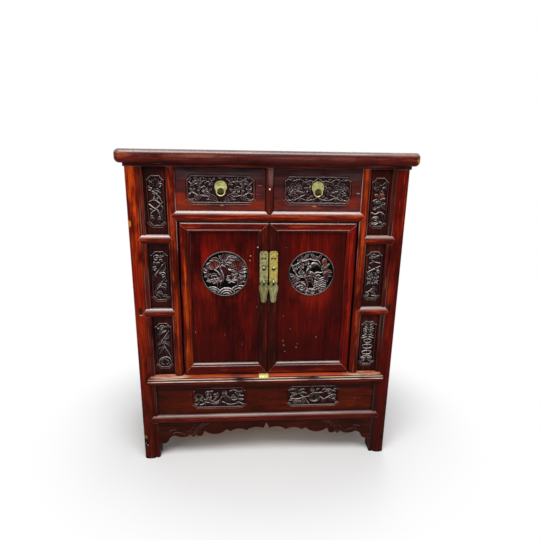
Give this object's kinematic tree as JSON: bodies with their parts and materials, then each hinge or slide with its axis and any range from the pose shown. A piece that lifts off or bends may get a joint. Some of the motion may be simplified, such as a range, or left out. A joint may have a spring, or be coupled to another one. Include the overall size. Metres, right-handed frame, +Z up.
{
  "type": "kang cabinet",
  "caption": "Low lacquered wood cupboard with drawers over a pair of medallion doors, carved side and base panels, brass pulls and a scalloped apron.",
  "frame": {"origin": "on the floor, under the middle of the body and of the top", "axes": "+X to the right seen from the front, +Y to the back, +Z up; the doors and drawers face -Y"},
  "size_m": [0.84, 0.456, 0.98],
  "materials": {
    "lacquer_worn": "old glossy red-brown lacquer, worn to orange wood on its crowns",
    "lacquer_dark": "old dark maroon lacquer on carved panels",
    "lacquer_red": "deep red lacquer, glossy",
    "carving_dark": "dark lacquered carving with pale worn edges",
    "back_wood": "thin old brown-red lacquer",
    "bare_wood": "unfinished old softwood",
    "brass": "tarnished olive-yellow brass"
  },
  "bodies": {
    "carcass": {"top_long_rails": "lacquer_worn", "top_end_rails": "lacquer_worn", "top_panel": "lacquer_worn", "top_battens": "bare_wood", "leg_front_left": "lacquer_worn", "leg_front_right": "lacquer_worn", "leg_back_left": "lacquer_worn", "leg_back_right": "lacquer_worn", "stile_left": "lacquer_worn", "stile_right": "lacquer_worn", "drawer_divider": "lacquer_worn", "drawer_rail": "lacquer_worn", "waist_rail": "lacquer_worn", "base_rail_front": "lacquer_worn", "short_rails_left": "lacquer_worn", "short_rails_right": "lacquer_worn", "panel_left_upper": "lacquer_dark", "panel_left_middle": "lacquer_dark", "panel_left_lower": "lacquer_dark", "panel_right_upper": "lacquer_dark", "panel_right_middle": "lacquer_dark", "panel_right_lower": "lacquer_dark", "base_panel_front": "lacquer_dark", "apron_front": "lacquer_worn", "side_rails_left": "lacquer_worn", "side_rails_right": "lacquer_worn", "side_panels_left": "lacquer_red", "side_panels_right": "lacquer_red", "side_aprons": "lacquer_worn", "back_rails": "back_wood", "back_panels": "back_wood", "cupboard_floor": "bare_wood", "base_board": "bare_wood", "drawer_runners": "bare_wood", "latch_plate": "brass"},
    "door_left": {"door_left_hinge_stile": "lacquer_worn", "door_left_meeting_stile": "lacquer_worn", "door_left_rails": "lacquer_worn", "door_left_panel": "lacquer_red", "door_left_medallion": "carving_dark", "door_left_plate": "brass", "door_left_fixings": "brass"},
    "pull_left": {"door_left_pull": "brass"},
    "drawer_left": {"drawer_left_front": "lacquer_dark", "drawer_left_box": "bare_wood", "drawer_left_escutcheon": "brass"},
    "ring_left": {"drawer_left_ring": "brass"},
    "door_right": {"door_right_hinge_stile": "lacquer_worn", "door_right_meeting_stile": "lacquer_worn", "door_right_rails": "lacquer_worn", "door_right_panel": "lacquer_red", "door_right_medallion": "carving_dark", "door_right_plate": "brass", "door_right_fixings": "brass"},
    "pull_right": {"door_right_pull": "brass"},
    "drawer_right": {"drawer_right_front": "lacquer_dark", "drawer_right_box": "bare_wood", "drawer_right_escutcheon": "brass"},
    "ring_right": {"drawer_right_ring": "brass"},
    "hatch": {"floor_hatch": "bare_wood"}
  },
  "joints": [
    {"name": "door_left_hinge", "type": "hinge", "parent": "carcass", "child": "door_left", "pos_m": [-0.247, -0.195, 0.3035], "axis": [0, 0, -1], "range_deg": [0, 100]},
    {"name": "pull_left_swing", "type": "hinge", "parent": "door_left", "child": "pull_left", "pos_m": [-0.01425, -0.2145, 0.6065], "axis": [-1, 0, 0], "range_deg": [0, 150]},
    {"name": "drawer_left_slide", "type": "slide", "parent": "carcass", "child": "drawer_left", "axis": [0, -1, 0], "range_m": [0, 0.28]},
    {"name": "ring_left_swing", "type": "hinge", "parent": "drawer_left", "child": "ring_left", "pos_m": [-0.137, -0.2084, 0.88075], "axis": [-1, 0, 0], "range_deg": [0, 150]},
    {"name": "door_right_hinge", "type": "hinge", "parent": "carcass", "child": "door_right", "pos_m": [0.247, -0.195, 0.3035], "axis": [0, 0, 1], "range_deg": [0, 100]},
    {"name": "pull_right_swing", "type": "hinge", "parent": "door_right", "child": "pull_right", "pos_m": [0.01425, -0.2145, 0.6065], "axis": [-1, 0, 0], "range_deg": [0, 150]},
    {"name": "drawer_right_slide", "type": "slide", "parent": "carcass", "child": "drawer_right", "axis": [0, -1, 0], "range_m": [0, 0.28]},
    {"name": "ring_right_swing", "type": "hinge", "parent": "drawer_right", "child": "ring_right", "pos_m": [0.137, -0.2084, 0.88075], "axis": [-1, 0, 0], "range_deg": [0, 150]},
    {"name": "hatch_lift", "type": "slide", "parent": "carcass", "child": "hatch", "axis": [0, 0, 1], "range_m": [0, 0.25]}
  ]
}
